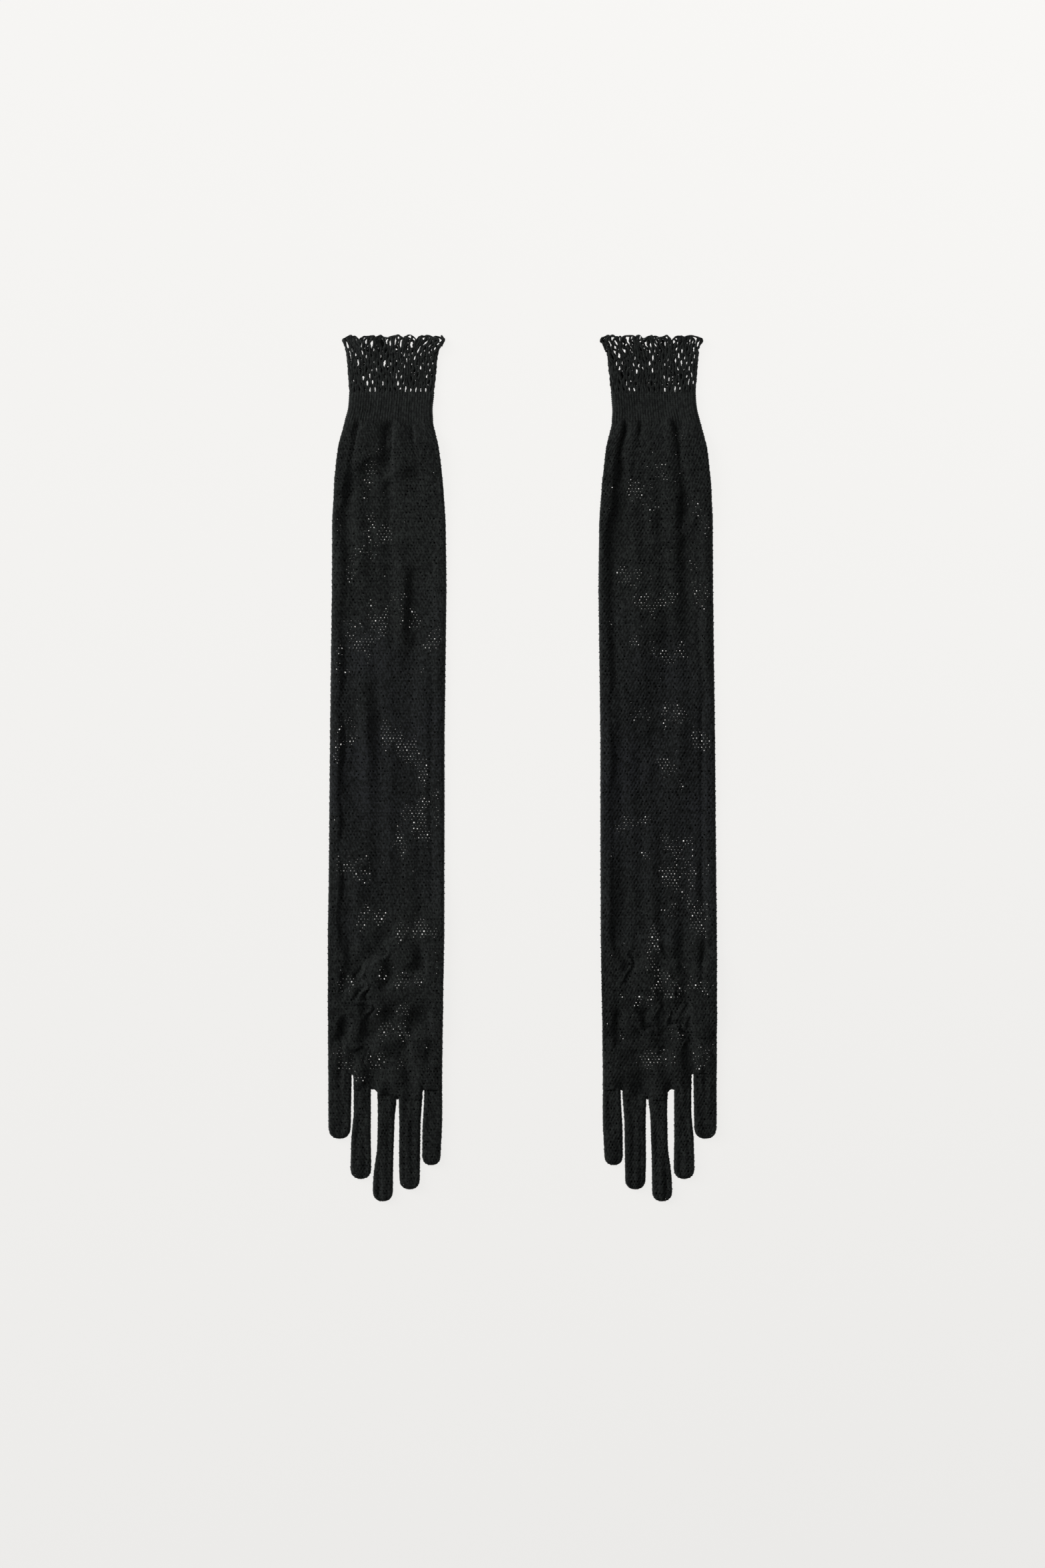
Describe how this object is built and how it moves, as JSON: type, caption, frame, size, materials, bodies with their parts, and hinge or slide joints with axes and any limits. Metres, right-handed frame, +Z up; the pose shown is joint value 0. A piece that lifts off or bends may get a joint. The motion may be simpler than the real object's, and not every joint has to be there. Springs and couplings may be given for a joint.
{
  "type": "opera gloves",
  "caption": "Pair of long knitted mesh opera gloves with a ribbed elastic cuff, flared net frill and folding elbow, wrist and fingers.",
  "frame": {"origin": "bottom centre of the pair's box, on the surface that the gloves lie on, midway between the two gloves", "axes": "+Z up from the surface, palms up; +Y towards the frilled cuffs and -Y towards the fingertips; +X from the right glove to the left glove"},
  "size_m": [0.27, 0.5998, 0.008],
  "materials": {
    "mesh_knit": "matt black openwork knit, a staggered lattice of small eyelets",
    "rib_knit": "matt black fine one-by-one rib",
    "frill_net": "matt black open net of tall diamond meshes",
    "elastic": "black covered elastic yarn"
  },
  "bodies": {
    "right_upper_arm": {"right_rib_band": "rib_knit", "right_elastic_yarn_1": "elastic", "right_elastic_yarn_2": "elastic", "right_elastic_yarn_3": "elastic", "right_upper_arm_sleeve": "mesh_knit"},
    "right_frill_turnback": {"right_frill": "frill_net"},
    "right_forearm": {"right_forearm_sleeve": "mesh_knit"},
    "right_hand": {"right_palm": "mesh_knit"},
    "right_thumb_digit": {"right_thumb": "mesh_knit"},
    "right_index_digit": {"right_index_finger": "mesh_knit"},
    "right_middle_digit": {"right_middle_finger": "mesh_knit"},
    "right_ring_digit": {"right_ring_finger": "mesh_knit"},
    "right_little_digit": {"right_little_finger": "mesh_knit"},
    "left_upper_arm": {"left_rib_band": "rib_knit", "left_elastic_yarn_1": "elastic", "left_elastic_yarn_2": "elastic", "left_elastic_yarn_3": "elastic", "left_upper_arm_sleeve": "mesh_knit"},
    "left_frill_turnback": {"left_frill": "frill_net"},
    "left_forearm": {"left_forearm_sleeve": "mesh_knit"},
    "left_hand": {"left_palm": "mesh_knit"},
    "left_thumb_digit": {"left_thumb": "mesh_knit"},
    "left_index_digit": {"left_index_finger": "mesh_knit"},
    "left_middle_digit": {"left_middle_finger": "mesh_knit"},
    "left_ring_digit": {"left_ring_finger": "mesh_knit"},
    "left_little_digit": {"left_little_finger": "mesh_knit"}
  },
  "joints": [
    {"name": "right_frill_fold", "type": "hinge", "parent": "right_upper_arm", "child": "right_frill_turnback", "pos_m": [-0.0928, 0.26, 0.0082], "axis": [1, 0, 0], "range_deg": [0, 90]},
    {"name": "right_elbow_fold", "type": "hinge", "parent": "right_upper_arm", "child": "right_forearm", "pos_m": [-0.0928, 0.125, 0.0082], "axis": [-1, 0, 0], "range_deg": [0, 120]},
    {"name": "right_wrist_fold", "type": "hinge", "parent": "right_forearm", "child": "right_hand", "pos_m": [-0.0928, -0.115, 0.0082], "axis": [-1, 0, 0], "range_deg": [0, 75]},
    {"name": "right_thumb_bend", "type": "hinge", "parent": "right_hand", "child": "right_thumb_digit", "pos_m": [-0.0928, -0.211, 0.0082], "axis": [-1, 0, 0], "range_deg": [0, 90]},
    {"name": "right_index_bend", "type": "hinge", "parent": "right_hand", "child": "right_index_digit", "pos_m": [-0.0928, -0.2225, 0.0082], "axis": [-1, 0, 0], "range_deg": [0, 90]},
    {"name": "right_middle_bend", "type": "hinge", "parent": "right_hand", "child": "right_middle_digit", "pos_m": [-0.0928, -0.2292, 0.0082], "axis": [-1, 0, 0], "range_deg": [0, 90]},
    {"name": "right_ring_bend", "type": "hinge", "parent": "right_hand", "child": "right_ring_digit", "pos_m": [-0.0928, -0.2292, 0.0082], "axis": [-1, 0, 0], "range_deg": [0, 90]},
    {"name": "right_little_bend", "type": "hinge", "parent": "right_hand", "child": "right_little_digit", "pos_m": [-0.0928, -0.2225, 0.0082], "axis": [-1, 0, 0], "range_deg": [0, 90]},
    {"name": "left_frill_fold", "type": "hinge", "parent": "left_upper_arm", "child": "left_frill_turnback", "pos_m": [0.0928, 0.26, 0.0082], "axis": [1, 0, 0], "range_deg": [0, 90]},
    {"name": "left_elbow_fold", "type": "hinge", "parent": "left_upper_arm", "child": "left_forearm", "pos_m": [0.0928, 0.125, 0.0082], "axis": [-1, 0, 0], "range_deg": [0, 120]},
    {"name": "left_wrist_fold", "type": "hinge", "parent": "left_forearm", "child": "left_hand", "pos_m": [0.0928, -0.115, 0.0082], "axis": [-1, 0, 0], "range_deg": [0, 75]},
    {"name": "left_thumb_bend", "type": "hinge", "parent": "left_hand", "child": "left_thumb_digit", "pos_m": [0.0928, -0.211, 0.0082], "axis": [-1, 0, 0], "range_deg": [0, 90]},
    {"name": "left_index_bend", "type": "hinge", "parent": "left_hand", "child": "left_index_digit", "pos_m": [0.0928, -0.2225, 0.0082], "axis": [-1, 0, 0], "range_deg": [0, 90]},
    {"name": "left_middle_bend", "type": "hinge", "parent": "left_hand", "child": "left_middle_digit", "pos_m": [0.0928, -0.2292, 0.0082], "axis": [-1, 0, 0], "range_deg": [0, 90]},
    {"name": "left_ring_bend", "type": "hinge", "parent": "left_hand", "child": "left_ring_digit", "pos_m": [0.0928, -0.2292, 0.0082], "axis": [-1, 0, 0], "range_deg": [0, 90]},
    {"name": "left_little_bend", "type": "hinge", "parent": "left_hand", "child": "left_little_digit", "pos_m": [0.0928, -0.2225, 0.0082], "axis": [-1, 0, 0], "range_deg": [0, 90]},
    {"name": "pair_spacing", "type": "slide", "parent": "right_upper_arm", "child": "left_upper_arm", "axis": [1, 0, 0], "range_m": [-0.08, 0.12]}
  ]
}
